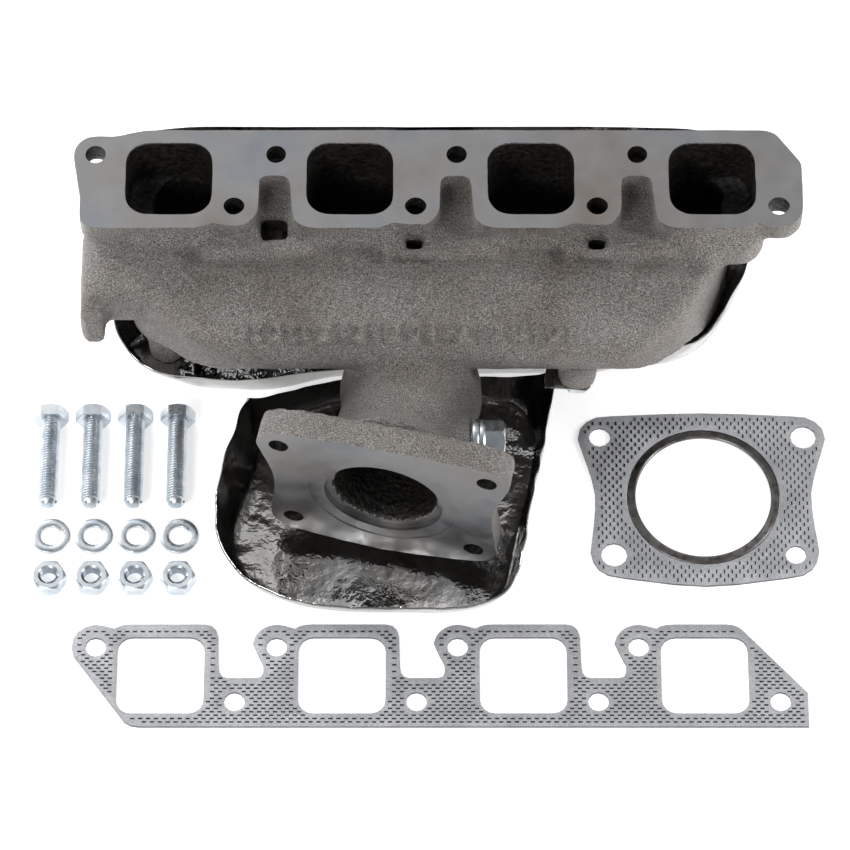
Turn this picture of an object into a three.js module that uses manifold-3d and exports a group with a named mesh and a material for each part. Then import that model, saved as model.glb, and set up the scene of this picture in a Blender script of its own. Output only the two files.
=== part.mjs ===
// Exhaust manifold kit for a four-cylinder engine, laid out on its back: a cast-iron log manifold with
// its two heat shields, and beside it the loose pieces it is fitted with. Millimetres, +Z up.
// Design axes: X runs along the row of ports, Y from the outlet towards the straight edge of the head
// flange, Z out of the machined head face. The head face is z = 0 and the middle of the port row is
// x = y = 0 until the last lines, which put the origin on the surface that the kit lies on.
import * as THREE from "three";
import { mergeVertices } from "three/addons/utils/BufferGeometryUtils.js";
import Module from "manifold-3d";

const wasm = await Module();
wasm.setup();

// Head flange
const PITCH = 92;                        // cylinder spacing
const PORT_WIDTH = 44;
const PORT_HEIGHT = 43;
const PORT_CORNER = 11;
const FLANGE_THICK = 14;
const FLANGE_TOP = 29.3;
const FLANGE_BOTTOM = -29.7;
const STUD_RADIUS = 5.5;                 // clearance for M10
const UPPER_HOLE = [-37.8, 14.5];        // from each port's centre
const LOWER_HOLE = [33.3, -16.5];
const LOBE = 12.5;
const NOTCH_TOP = 1.6;
const NOTCH = [46, 62.7];                // from each port's centre
// Runners and log
const WALL = 6.5;
const OUTER_LEAN = 13;
const RUNNER_HALF = 27;
const LOG_FRONT = -21;
const LOG_BACK = -78;
const LOG_LOW = -87;
const LOG_TOP = -34;
const LOG_ROUND = 17.5;
const WEB_FRONT = -14;
const WEB_LOW = -37;
const WEB_BACK = -26;
// Outlet
const OUTLET_CENTRE = new THREE.Vector3(-29.1, -153.5, -60);
const OUTLET_YAW = THREE.MathUtils.degToRad(12);
const OUTLET_THICK = 16;
const OUTLET_BORE = 26;
const OUTLET_RECESS = 30;
const NECK_RADIUS = 33;
const NECK_ROOT = new THREE.Vector3(-13, -74, -76);
const OUTLET_HOLES = [[-53, 35.5], [53, 35.5], [-46.7, -34.1], [46.7, -34.1]];
const NECK_TOP = OUTLET_CENTRE.clone().add(new THREE.Vector3(
  Math.sin(OUTLET_YAW), Math.cos(OUTLET_YAW), 0).multiplyScalar(OUTLET_THICK - 1));
const NECK_WAY = NECK_TOP.clone().sub(NECK_ROOT).normalize();
const NECK_LENGTH = NECK_TOP.distanceTo(NECK_ROOT);
// Plug in the neck's right side
const PLUG_Y = -120;
const PLUG_Z = -60;
const PLUG_FACE = 15.6;
// Heat shields
const SURFACE = -122;                    // the kit lies on this plane
const SHEET = 1;
const DIMPLE_RISE = 7;
const SHEET_FLOOR = SURFACE + 0.1;
const BOSS_RADIUS = 10;
const BOSS_END = SHEET_FLOOR + DIMPLE_RISE + SHEET + 0.3;
// Each shield has a bolt through a shelf at its rim, [x, y, height of the boss's end], and others through
// dimples in its floor.
const UPPER_SHELF = [-141, -50, -84];
const LOWER_SHELF = [70, -77, -66];
const UPPER_DIMPLES = [[-92, 12, BOSS_END], [92, 12, BOSS_END]];
const LOWER_DIMPLES = [[-14, -78, BOSS_END]];
const SHIELD_BOLTS = [UPPER_SHELF, ...UPPER_DIMPLES, LOWER_SHELF, ...LOWER_DIMPLES];
const SHIELD_BOLT = 4;                   // M8
// Gaskets and fasteners
const GASKET_THICK = 1.6;
const BOLT = 5;                          // M10
const BOLT_LENGTH = 50;
const HEAD_FLATS = 16;
const HEAD_HIGH = 6.4;
const NUT_HIGH = 8;
const WASHER = [5.25, 10, 2];
const GAP = 0.3;
const ROUND = 18;

const ports = [-1.5, -0.5, 0.5, 1.5].map((step) => step * PITCH);

function toSolid(geometry) {
  const bare = geometry.clone();
  bare.deleteAttribute("normal");
  bare.deleteAttribute("uv");
  const merged = mergeVertices(bare, 1e-4);
  const corners = merged.index.array;
  const triangles = [];
  for (let i = 0; i < corners.length; i += 3) {
    const [a, b, c] = [corners[i], corners[i + 1], corners[i + 2]];
    if (a !== b && b !== c && c !== a) triangles.push(a, b, c);
  }
  return new wasm.Manifold(new wasm.Mesh({
    numProp: 3,
    vertProperties: Float32Array.from(merged.attributes.position.array),
    triVerts: Uint32Array.from(triangles),
  }));
}

function toGeometry(solid) {
  const mesh = solid.getMesh();
  const geometry = new THREE.BufferGeometry();
  geometry.setAttribute("position", new THREE.BufferAttribute(mesh.vertProperties, 3));
  geometry.setIndex(new THREE.BufferAttribute(mesh.triVerts, 1));
  geometry.computeVertexNormals();
  return geometry;
}

const join = (solids) => solids.reduce((whole, solid) => whole.add(solid));
const cut = (body, solids) => solids.reduce((whole, solid) => whole.subtract(solid), body);

function polygon(points) {
  return new THREE.Shape(points.map(([x, y]) => new THREE.Vector2(x, y)));
}

function smooth(points, count) {
  const curve = new THREE.CatmullRomCurve3(points.map(([x, y, z = 0]) => new THREE.Vector3(x, y, z)), true);
  return curve.getPoints(count).slice(0, -1);
}

function roundedBox(left, bottom, right, top, radius) {
  const shape = new THREE.Shape();
  shape.moveTo(left + radius, bottom);
  shape.absarc(right - radius, bottom + radius, radius, -Math.PI / 2, 0);
  shape.absarc(right - radius, top - radius, radius, 0, Math.PI / 2);
  shape.absarc(left + radius, top - radius, radius, Math.PI / 2, Math.PI);
  shape.absarc(left + radius, bottom + radius, radius, Math.PI, 1.5 * Math.PI);
  return shape;
}

// A plate with square edges between two heights.
function plate(shape, low, high, curveSegments = 3) {
  const depth = high - low;
  const geometry = new THREE.ExtrudeGeometry(shape, { depth, bevelEnabled: false, curveSegments });
  return geometry.translate(0, 0, low);
}

// A plate whose front and back edges are rounded, its outline drawn in by inset.
function pillow(shape, low, high, round, inset = 0, bevelSegments = 3, curveSegments = 2) {
  const geometry = new THREE.ExtrudeGeometry(shape, {
    depth: high - low - 2 * round,
    bevelThickness: round,
    bevelSize: round,
    bevelOffset: -round - inset,
    bevelSegments,
    curveSegments,
  });
  return geometry.translate(0, 0, low + round);
}

function post(x, y, low, high, radius, sides = ROUND) {
  const geometry = new THREE.CylinderGeometry(radius, radius, high - low, sides);
  return geometry.rotateX(Math.PI / 2).translate(x, y, (low + high) / 2);
}

function ring(inner, outer, high, sides = 20) {
  const profile = [[inner, 0], [outer, 0], [outer, high], [inner, high], [inner, 0]];
  const geometry = new THREE.LatheGeometry(profile.map(([r, z]) => new THREE.Vector2(r, z)), sides);
  return geometry.rotateX(Math.PI / 2);
}

function hexagon(flats) {
  const shape = new THREE.Shape();
  const corner = flats / Math.sqrt(3);
  for (let i = 0; i < 6; i += 1) {
    const turn = i * Math.PI / 3;
    shape.lineTo(corner * Math.cos(turn), corner * Math.sin(turn));
  }
  return shape;
}

// The outlet's own axes: x across the flange, y up, z out of its face.
function atOutlet(geometry) {
  const across = new THREE.Vector3(Math.cos(OUTLET_YAW), -Math.sin(OUTLET_YAW), 0);
  const outward = new THREE.Vector3(-Math.sin(OUTLET_YAW), -Math.cos(OUTLET_YAW), 0);
  const place = new THREE.Matrix4().makeBasis(across, new THREE.Vector3(0, 0, 1), outward);
  return geometry.applyMatrix4(place.setPosition(OUTLET_CENTRE));
}

// ---- Casting ----

// The straight edge is on top; the lower edge has a lobe round each lower stud and a notch beside it.
function headOutline() {
  const shape = new THREE.Shape();
  shape.moveTo(-150, FLANGE_TOP);
  shape.lineTo(-166, 25.5);
  shape.absarc(ports[0] + UPPER_HOLE[0], UPPER_HOLE[1], 11.2, Math.PI / 2, 1.1 * Math.PI);
  shape.lineTo(-183, -9);
  shape.lineTo(-183, -22);
  shape.quadraticCurveTo(-182, FLANGE_BOTTOM, -176, FLANGE_BOTTOM);
  ports.forEach((x, i) => {
    shape.lineTo(x + 15, FLANGE_BOTTOM);
    shape.lineTo(x + 22, -26.5);
    shape.absarc(x + LOWER_HOLE[0], LOWER_HOLE[1], LOBE, -0.65 * Math.PI, 0);
    if (i === ports.length - 1) return;
    shape.lineTo(x + NOTCH[0], NOTCH_TOP - 3);
    shape.quadraticCurveTo(x + NOTCH[0], NOTCH_TOP, x + NOTCH[0] + 3, NOTCH_TOP);
    shape.lineTo(x + NOTCH[1] - 5, NOTCH_TOP);
    shape.quadraticCurveTo(x + NOTCH[1] - 1, NOTCH_TOP, x + NOTCH[1] - 1, NOTCH_TOP - 5);
    shape.lineTo(x + NOTCH[1], -20);
    shape.quadraticCurveTo(x + NOTCH[1] + 1, FLANGE_BOTTOM, x + NOTCH[1] + 11, FLANGE_BOTTOM);
  });
  shape.lineTo(184, 9);
  shape.lineTo(171, FLANGE_TOP - 2);
  shape.lineTo(166, FLANGE_TOP);
  return shape;
}

function studHoles(low, high) {
  return ports.flatMap((x) => [UPPER_HOLE, LOWER_HOLE].map(
    ([dx, y]) => post(x + dx, y, low, high, STUD_RADIUS, 14)));
}

// The log seen along X: flat front, full round lower edge, sloping underside. Inset gives the cavity.
function logSection(inset) {
  const shape = new THREE.Shape();
  const centreY = LOG_LOW + LOG_ROUND;
  const centreZ = LOG_FRONT - LOG_ROUND;
  shape.moveTo(LOG_TOP - inset, LOG_FRONT - inset);
  shape.lineTo(centreY, LOG_FRONT - inset);
  shape.absarc(centreY, centreZ, LOG_ROUND - inset, Math.PI / 2, 1.35 * Math.PI);
  shape.lineTo(-62, -60 + inset);
  shape.lineTo(-48, -71 + inset);
  shape.lineTo(LOG_TOP - inset, LOG_BACK + inset);
  return shape;
}

function logBar(inset) {
  const bar = plate(logSection(inset), -170, 170, 4);
  const place = new THREE.Matrix4().makeBasis(
    new THREE.Vector3(0, 1, 0), new THREE.Vector3(0, 0, 1), new THREE.Vector3(1, 0, 0));
  return toSolid(bar.applyMatrix4(place));
}

// The log seen along Z, swept up at its right end into the last runner.
function logOutline() {
  return polygon([[-158, 30], [-158, -44], [-150, -58], [-140, -66], [-129, -76], [-115, -83.5],
    [-97, -87.6], [90, -87.6], [102, -83.5], [112, -77], [122, -68], [132, -55], [142, -38], [149, -18],
    [152, 12], [150, 30]]);
}

function outlineSolid(inset) {
  return toSolid(pillow(logOutline(), LOG_BACK - 2 + inset, LOG_FRONT + 2 - inset, 11, inset));
}

function logBody(inset) {
  return logBar(inset).intersect(outlineSolid(inset));
}

// The end runners turn inwards below their mouths.
const inwards = (x, side) => (side * x > PITCH ? OUTER_LEAN : 0);

function runner(x) {
  const mouth = roundedBox(x - RUNNER_HALF, -34, x + RUNNER_HALF, 28, 12);
  const bend = roundedBox(x - RUNNER_HALF + inwards(x, -1), -46, x + RUNNER_HALF - inwards(x, 1), 26, 12);
  const lower = toSolid(pillow(bend, LOG_BACK, -22, 9)).intersect(outlineSolid(0));
  return toSolid(pillow(mouth, -35, -6, 9)).add(lower);
}

// Gas way of one port: straight in from the head face, then down into the log.
function gasWay(x) {
  const half = PORT_WIDTH / 2;
  const low = -half + 1 + inwards(x, -1);
  const high = half - 1 - inwards(x, 1);
  const opening = roundedBox(x - half, -PORT_HEIGHT / 2, x + half, PORT_HEIGHT / 2, PORT_CORNER);
  const mouth = plate(opening, -34, 1, 3);
  const bend = pillow(roundedBox(x + low, -56, x + high, PORT_HEIGHT / 2 - 1, 10), -72, -24, 8, 0, 2);
  return toSolid(mouth).add(toSolid(bend).intersect(outlineSolid(WALL)));
}

// Raised web between two runners, wide above and narrow below.
function web(x) {
  const outline = [[-36, 18], [-36, -27], [-31, WEB_LOW], [31, WEB_LOW], [36, -27], [36, 18]];
  return toSolid(plate(polygon(outline.map(([dx, y]) => [x + dx, y])), WEB_BACK, WEB_FRONT));
}

function windowCut([left, bottom, right, top]) {
  return toSolid(plate(roundedBox(left, bottom, right, top, 1), -31, 1, 1));
}

function windowRim([left, bottom, right, top]) {
  const rim = roundedBox(left - 3, bottom - 2, right + 3, top + 2, 3);
  return toSolid(plate(rim, WEB_BACK, WEB_FRONT + 2.5, 1));
}

function leftStub() {
  const stub = toSolid(pillow(roundedBox(-183, -58, -140, -8, 12), -51, LOG_FRONT + 4, 10));
  const lug = polygon([[-183, -48], [-183, -64], [-179, -68], [-171, -67], [-171, -48]]);
  return stub.add(toSolid(plate(lug, -50, -30)));
}

function outletFlange() {
  const points = [[0, 49.9], [40, 48.4], [57, 46.5], [64.6, 37.6], [60, 20], [56, 2], [57, -18], [58.5, -35],
    [52.5, -44.5], [34, -48.5], [0, -52.2]];
  const left = points.slice(1, -1).reverse().map(([a, b]) => [-a, b]);
  const shape = new THREE.Shape(smooth([...points, ...left], 44).map((p) => new THREE.Vector2(p.x, p.y)));
  return toSolid(atOutlet(plate(shape, -OUTLET_THICK, 0)));
}

// A turned or straight piece along the neck's own axis, which climbs from under the log to the flange.
function alongNeck(geometry) {
  const turn = new THREE.Quaternion().setFromUnitVectors(new THREE.Vector3(0, 0, 1), NECK_WAY);
  return geometry.applyQuaternion(turn).translate(...NECK_ROOT.toArray());
}

function neck() {
  const long = NECK_LENGTH;
  const profile = [[0, -8], [31, -8], [34, -3], [37, 10], [36, 18], [NECK_RADIUS, 28],
    [NECK_RADIUS, long - 12], [39, long - 3], [39, long], [0, long]];
  const points = profile.map(([r, z]) => new THREE.Vector2(r, z));
  return toSolid(alongNeck(new THREE.LatheGeometry(points, 28).rotateX(Math.PI / 2)));
}

// The saddle that leads from the log into the root of the neck. Inset gives its gas way.
function saddle(inset) {
  const inLog = new THREE.BoxGeometry(60 - 2 * inset, 30 - inset, 20).translate(-13, -57, -50);
  const root = alongNeck(post(0, 0, -8, -6, 31 - inset, 28));
  return wasm.Manifold.hull([inLog, root].map(toSolid));
}

function outletCuts() {
  const bore = alongNeck(post(0, 0, -7, NECK_LENGTH + 4, OUTLET_BORE, 28));
  const mouth = atOutlet(post(0, 0, -OUTLET_THICK - 4, 1, OUTLET_BORE, 28));
  const recess = atOutlet(post(0, 0, -4, 1, OUTLET_RECESS, 36));
  const holes = OUTLET_HOLES.map(([a, b]) => atOutlet(post(a, b, -OUTLET_THICK - 1, 1, STUD_RADIUS, 14)));
  return [bore, mouth, recess, ...holes].map(toSolid);
}

function plugBoss() {
  const along = new THREE.Matrix4().makeRotationY(Math.PI / 2);
  return toSolid(post(0, 0, -12, PLUG_FACE, 12).applyMatrix4(along).translate(0, PLUG_Y, PLUG_Z));
}

function plugHole() {
  const along = new THREE.Matrix4().makeRotationY(Math.PI / 2);
  return toSolid(post(0, 0, -20, PLUG_FACE + 1, 6.3).applyMatrix4(along).translate(0, PLUG_Y, PLUG_Z));
}

// Bosses that reach back to the shields from the web, the log's underside or the root of the neck.
function shieldBosses() {
  return SHIELD_BOLTS.map(([x, y, end]) => {
    const root = y > 0 ? WEB_BACK + 2 : Math.max(end + 14, -62);
    return toSolid(post(x, y, end, root, BOSS_RADIUS));
  });
}

function shieldBoltHoles() {
  return SHIELD_BOLTS.map(([x, y, end]) => toSolid(post(x, y, end - 1, end + 10.5, SHIELD_BOLT + GAP, 12)));
}

function casting() {
  const windows = [[-91.4, -29, -77.6, -15.5], [-19.3, -36, -7.5, -27.5], [73.2, -36, 85, -27.5]];
  const gaps = ports.slice(0, -1).map((x) => x + PITCH / 2);
  const outside = join([
    toSolid(plate(headOutline(), -FLANGE_THICK, 0)),
    logBody(0),
    ...ports.map(runner),
    ...gaps.map(web),
    ...windows.map(windowRim),
    leftStub(),
    neck(),
    saddle(0),
    outletFlange(),
    plugBoss(),
    ...shieldBosses(),
  ]);
  const inside = join([logBody(WALL), saddle(WALL), ...ports.map(gasWay)]);
  return cut(outside, [
    inside,
    ...outletCuts(),
    plugHole(),
    ...studHoles(-60, 1).map(toSolid),
    ...windows.map(windowCut),
    ...shieldBoltHoles(),
  ]);
}

// ---- Heat shields ----

// A thin pressed dish. Its rim is a closed curve of [x, y, z, share] points. The floor is flat out to that
// share of the way from the centre, and the wall climbs from there to the rim.
function dish(rim, centre) {
  const loop = smooth(rim, 44);
  const shares = smooth(rim.map((point) => [point[3], 0]), 44).map((point) => point.x);
  const steps = [0, 0.5, 1, 1.3, 1.6, 1.82, 2];
  const profile = [...steps.map((step) => [step, 0]), ...steps.map((step) => [step, 1]).reverse()];
  const lathe = new THREE.LatheGeometry(profile.map(([s, side]) => new THREE.Vector2(s, side)), loop.length);
  const place = lathe.attributes.position;
  for (let i = 0; i < place.count; i += 1) {
    const [x, side, z] = [place.getX(i), place.getY(i), place.getZ(i)];
    const step = Math.hypot(x, z);
    const turn = (Math.atan2(x, z) / (2 * Math.PI) + 1) % 1;
    const index = (loop.length - Math.round(turn * loop.length)) % loop.length;
    const edge = loop[index];
    const climb = Math.max(0, step - 1);
    const s = Math.min(step, 1) * shares[index] + climb * (1 - shares[index]);
    const lift = climb ** 1.7;
    const low = SHEET_FLOOR + (edge.z - SHEET_FLOOR) * lift;
    const inward = side * SHEET * 0.8 * lift / Math.hypot(edge.x - centre[0], edge.y - centre[1]);
    const [reachX, reachY] = [(edge.x - centre[0]) * (s - inward), (edge.y - centre[1]) * (s - inward)];
    place.setXYZ(i, centre[0] + reachX, centre[1] + reachY, low + side * SHEET);
  }
  return lathe;
}

// Where a bolt holds the sheet it rises in a dimple, so that the bolt's head stays above the surface.
function dimpled(sheet, bolts) {
  const low = SHEET_FLOOR;
  const high = low + DIMPLE_RISE;
  const profile = [[4.5, high], [9, high], [14, low], [17, low], [17, low + SHEET], [14.6, low + SHEET],
    [9.6, high + SHEET], [4.5, high + SHEET], [4.5, high]].map(([r, z]) => new THREE.Vector2(r, z));
  const hat = toSolid(new THREE.LatheGeometry(profile, 14).rotateX(Math.PI / 2));
  const opened = cut(sheet, bolts.map(([x, y]) => toSolid(post(x, y, low - 1, low + 3, 15.5))));
  return join([opened, ...bolts.map(([x, y]) => hat.translate(x, y, 0))]);
}

// A flat shelf under a boss, drilled for its bolt.
function shelf(points, [x, y, end]) {
  const high = end - GAP;
  const flat = toSolid(plate(polygon(points), high - SHEET, high));
  return flat.subtract(toSolid(post(x, y, high - 2, high + 1, SHIELD_BOLT + 0.5, 12)));
}

function upperShield() {
  const rim = [[-160, 44, -26, 0.85], [-100, 47.5, -25, 0.85], [0, 48, -25, 0.85], [100, 47.5, -25, 0.85],
    [150, 44, -28, 0.86], [162, 20, -34, 0.88], [162, -10, -38, 0.88], [157, -30, -42, 0.87],
    [151, -40, -46, 0.84], [144, -49, -58, 0.76], [132, -49, -82, 0.72], [112, -48, -92, 0.76],
    [90, -52, -100, 0.8], [60, -50, -104, 0.82], [0, -50, -104, 0.82], [-60, -52, -104, 0.8],
    [-102, -66, -92, 0.74], [-124, -69, -84, 0.72], [-143, -69, -80, 0.72], [-157, -62.5, -77, 0.75],
    [-168, -49, -70, 0.8], [-171, -20, -58, 0.85], [-168, 24, -34, 0.85]];
  const sheet = toSolid(dish(rim, [-4, -6]));
  const points = [[-170, -58], [-158, -75], [-126, -75], [-128, -38], [-150, -36]];
  const ledge = shelf(points, UPPER_SHELF).intersect(sheet.hull());
  return dimpled(sheet, UPPER_DIMPLES).add(ledge);
}

function lowerShield() {
  const rim = [[-94, -72, -98], [-50, -55, -106], [0, -53.5, -106], [44, -58, -100], [59, -78, -64],
    [57, -96, -64], [54, -113, -70], [50, -129, -80], [46, -146, -90], [43, -162, -98], [36, -181, -104],
    [18, -190, -107], [-20, -190.5, -108], [-52, -190, -108], [-80, -185, -107], [-104, -172, -104],
    [-115, -154, -95], [-114, -130, -80], [-106, -108, -68], [-101, -88, -72]];
  const sheet = toSolid(dish(rim.map((point) => [...point, 0.9]), [-28, -124]));
  const ledge = shelf([[54, -84], [75, -86], [80, -80], [79, -70], [54, -72]], LOWER_SHELF);
  return dimpled(sheet, LOWER_DIMPLES).add(ledge);
}

function shieldBolt([x, y, end]) {
  const seat = end - SHEET - 2 * GAP;
  const shank = post(x, y, seat - 3, end + 9, SHIELD_BOLT, 12);
  const collar = post(x, y, seat - 1.8, seat, 8.5);
  const head = plate(hexagon(13), seat - 6.2, seat - 1).translate(x, y, 0);
  return join([shank, collar, head].map(toSolid));
}

// ---- Plug ----

function alongX(geometry, x) {
  return geometry.rotateY(Math.PI / 2).translate(x, PLUG_Y, PLUG_Z);
}

function plug() {
  const thread = post(0, 0, -14, 6, 6, 20);
  const collar = post(0, 0, 4.2, 6.9, 11.5);
  const head = pillow(hexagon(19), 6, 17.1, 1.2);
  return join([thread, collar, head].map((piece) => toSolid(alongX(piece, PLUG_FACE))));
}

function plugWasher() {
  return toSolid(alongX(ring(6.3, 12, 3.6), PLUG_FACE + GAP));
}

// ---- Gaskets, laid flat on the surface ----

const PORT_GASKET_X = -4;
const PORT_GASKET_Y = -221.5;
const OUTLET_GASKET_AT = [136, -118];

// Half a turn round from the head flange: notches up, straight edge down.
function portGasket() {
  const shape = new THREE.Shape();
  shape.moveTo(-158, -23);
  shape.quadraticCurveTo(-155, -29, -148, -29);
  shape.lineTo(189.7, -29);
  shape.lineTo(189.7, -10);
  shape.lineTo(158, 25.5);
  shape.quadraticCurveTo(155, 29, 150, 29);
  [...ports].reverse().forEach((x) => {
    shape.lineTo(x - 15, 29);
    shape.quadraticCurveTo(x - 22, 29, x - 24, 26.5);
    shape.absarc(x - 33.3, 16.5, 12.3, 0.4 * Math.PI, x === ports[0] ? 1.15 * Math.PI : 0.95 * Math.PI);
    if (x === ports[0]) return;
    shape.quadraticCurveTo(x - 43, 12, x - 40, 6);
    shape.quadraticCurveTo(x - 39, -1.6, x - 43, -1.6);
    shape.lineTo(x - 58, -1.6);
    shape.quadraticCurveTo(x - 62.5, -1.6, x - 62.5, 5);
    shape.lineTo(x - 63, 22);
    shape.quadraticCurveTo(x - 64, 29, x - 70, 29);
  });
  const body = toSolid(plate(shape, 0, GASKET_THICK, 3));
  const windows = ports.map((x) => roundedBox(x - 22.1, -21.6, x + 22.1, 21.6, 7.5));
  const mouths = windows.map((window) => plate(window, -1, GASKET_THICK + 1, 2));
  const holes = ports.flatMap((x) => [[-33.3, 16], [37.8, -15]].map(
    ([dx, y]) => post(x + dx, y, -1, GASKET_THICK + 1, 5.4, 12)));
  return cut(body, [...mouths, ...holes].map(toSolid)).translate(PORT_GASKET_X, PORT_GASKET_Y, SURFACE);
}

function outletGasket() {
  const points = [[0, 49.9], [40, 48.4], [57, 46.5], [64.3, 37.6], [60, 20], [56, 2], [57, -18], [58.5, -35],
    [52.5, -44.5], [34, -48.5], [0, -52.2]];
  const left = points.slice(1, -1).reverse().map(([a, b]) => [-a, b]);
  const shape = new THREE.Shape(smooth([...points, ...left], 44).map((p) => new THREE.Vector2(p.x, p.y)));
  const body = toSolid(plate(shape, 0, GASKET_THICK));
  const holes = [[-53, 35.5, 5.6], [53, 35.5, 6.7], [-46.7, -34.1, 6.8], [46.7, -34.1, 5.3]];
  const cuts = holes.map(([a, b, r]) => post(a, b, -1, GASKET_THICK + 1, r, 12));
  const mouth = post(0, 0, -1, GASKET_THICK + 1, 39.5 + GAP, 40);
  return cut(body, [mouth, ...cuts].map(toSolid)).translate(...OUTLET_GASKET_AT, SURFACE);
}

function fireRing() {
  return toSolid(ring(35, 39.5, 2.2, 40)).translate(...OUTLET_GASKET_AT, SURFACE);
}

// ---- Loose fasteners, in four columns ----

const BOLT_COLUMNS = [-202.5, -180.5, -158.5, -136.5];
const SMALL_COLUMNS = [-200.5, -178.5, -156.5, -134.5];
const BOLT_HEAD_Y = -70.5;
const WASHER_Y = -141;
const NUT_Y = -167;

function outletBolt(x) {
  const corner = HEAD_FLATS / 2;
  const shank = post(0, 0, 0, BOLT_LENGTH, BOLT);
  const head = pillow(hexagon(HEAD_FLATS), -HEAD_HIGH, 0.02, 0.9, 0, 1);
  return join([shank, head].map((piece) => toSolid(
    piece.rotateX(Math.PI / 2).translate(x, BOLT_HEAD_Y - HEAD_HIGH, SURFACE + corner))));
}

function outletWasher(x) {
  const [inner, outer, high] = WASHER;
  return toSolid(ring(inner, outer, high)).translate(x, WASHER_Y, SURFACE);
}

function outletNut(x) {
  const body = toSolid(pillow(hexagon(HEAD_FLATS), 0, NUT_HIGH, 1, 0, 1));
  return body.subtract(toSolid(post(0, 0, -1, NUT_HIGH + 1, BOLT - 0.2))).translate(x, NUT_Y, SURFACE);
}

// ---- The kit ----

const finishes = {
  cast_iron: { color: 0x78716b, roughness: 0.75, metalness: 0.7 },
  shield_steel: { color: 0x3c3a3a, roughness: 0.2, metalness: 1 },
  zinc: { color: 0xb4bcc4, roughness: 0.35, metalness: 0.9 },
  gasket: { color: 0xbfc1c4, roughness: 0.6, metalness: 0.3 },
  ring_steel: { color: 0x6c6a68, roughness: 0.35, metalness: 0.9 },
};

const kit = new THREE.Group();
// Bottom centre of the laid-out kit, in the design axes above.
const KIT_CENTRE = [-5.66, -101.19];
kit.position.set(-KIT_CENTRE[0], -KIT_CENTRE[1], -SURFACE);

function place(name, solid, finish) {
  const mesh = new THREE.Mesh(toGeometry(solid), new THREE.MeshStandardMaterial(finishes[finish]));
  mesh.name = name;
  kit.add(mesh);
}

place("manifold_casting", casting(), "cast_iron");
place("heat_shield_upper", upperShield(), "shield_steel");
place("heat_shield_lower", lowerShield(), "shield_steel");
SHIELD_BOLTS.forEach((at, i) => {
  place(`shield_bolt_${i + 1}`, shieldBolt(at), "zinc");
});
place("neck_plug", plug(), "zinc");
place("neck_plug_washer", plugWasher(), "zinc");
place("port_gasket", portGasket(), "gasket");
place("outlet_gasket", outletGasket(), "gasket");
place("outlet_gasket_ring", fireRing(), "ring_steel");
BOLT_COLUMNS.forEach((x, i) => {
  place(`outlet_bolt_${i + 1}`, outletBolt(x), "zinc");
});
SMALL_COLUMNS.forEach((x, i) => {
  place(`outlet_washer_${i + 1}`, outletWasher(x), "zinc");
  place(`outlet_nut_${i + 1}`, outletNut(x), "zinc");
});

export default kit;
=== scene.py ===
# %% [markdown]
# # Exhaust manifold kit
# The engineering model gives every place and size. Here each piece gets its finished surface. All lengths
# are metres.

# %% Load the frame and keep its box
import math

import bmesh
import bpy
from mathutils import Matrix, Vector, noise
from mathutils.bvhtree import BVHTree


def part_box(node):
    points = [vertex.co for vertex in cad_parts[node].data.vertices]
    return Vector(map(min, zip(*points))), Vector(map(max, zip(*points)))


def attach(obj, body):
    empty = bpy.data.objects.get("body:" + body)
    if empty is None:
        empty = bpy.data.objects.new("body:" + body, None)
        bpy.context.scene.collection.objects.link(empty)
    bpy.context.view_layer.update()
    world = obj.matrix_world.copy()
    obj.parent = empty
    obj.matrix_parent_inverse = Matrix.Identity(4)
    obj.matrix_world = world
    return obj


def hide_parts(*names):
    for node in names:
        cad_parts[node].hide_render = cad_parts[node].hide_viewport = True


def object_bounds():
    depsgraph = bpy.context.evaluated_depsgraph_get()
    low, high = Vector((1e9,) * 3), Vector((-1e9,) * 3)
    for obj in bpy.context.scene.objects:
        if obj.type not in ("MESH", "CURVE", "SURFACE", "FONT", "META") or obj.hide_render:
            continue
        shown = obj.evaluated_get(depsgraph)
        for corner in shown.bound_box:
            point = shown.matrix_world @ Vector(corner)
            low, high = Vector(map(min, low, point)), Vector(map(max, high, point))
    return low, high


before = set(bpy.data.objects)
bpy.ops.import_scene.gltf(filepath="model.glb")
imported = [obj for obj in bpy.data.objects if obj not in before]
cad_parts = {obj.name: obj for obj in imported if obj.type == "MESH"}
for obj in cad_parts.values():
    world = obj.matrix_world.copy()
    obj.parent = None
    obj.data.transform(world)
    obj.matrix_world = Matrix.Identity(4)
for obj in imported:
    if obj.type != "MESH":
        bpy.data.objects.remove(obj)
cad_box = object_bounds()
MM = 0.001

# %% [markdown]
# It is made first, because everything else is judged through it. HEAD is the centre of the port row on the
# machined face, and the casting's features are placed from it.

# %% Camera
VIEW_ANGLE = math.radians(60)
VIEW_DISTANCE = 2.5
VIEW_WIDTH = 0.4318
SENSOR = 36.0
PORT_ROW_FROM_END = 187 * MM
PORT_ROW_FROM_EDGE = 29.3 * MM
TARGET_FROM_HEAD = Vector((-7.9, -108.5, -62.65)) * MM
casting_low, casting_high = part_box("manifold_casting")
HEAD = Vector((casting_low.x + PORT_ROW_FROM_END, casting_high.y - PORT_ROW_FROM_EDGE, casting_high.z))
TARGET = HEAD + TARGET_FROM_HEAD


def make_camera():
    data = bpy.data.cameras.new("camera")
    data.sensor_width = SENSOR
    data.lens = SENSOR * VIEW_DISTANCE / VIEW_WIDTH
    camera = bpy.data.objects.new("camera", data)
    bpy.context.collection.objects.link(camera)
    back = Vector((0, -math.cos(VIEW_ANGLE), math.sin(VIEW_ANGLE)))
    camera.location = TARGET + back * VIEW_DISTANCE
    camera.rotation_euler = (math.pi / 2 - VIEW_ANGLE, 0, 0)
    bpy.context.scene.camera = camera
    print("camera lens", round(data.lens, 1))


make_camera()

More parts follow.
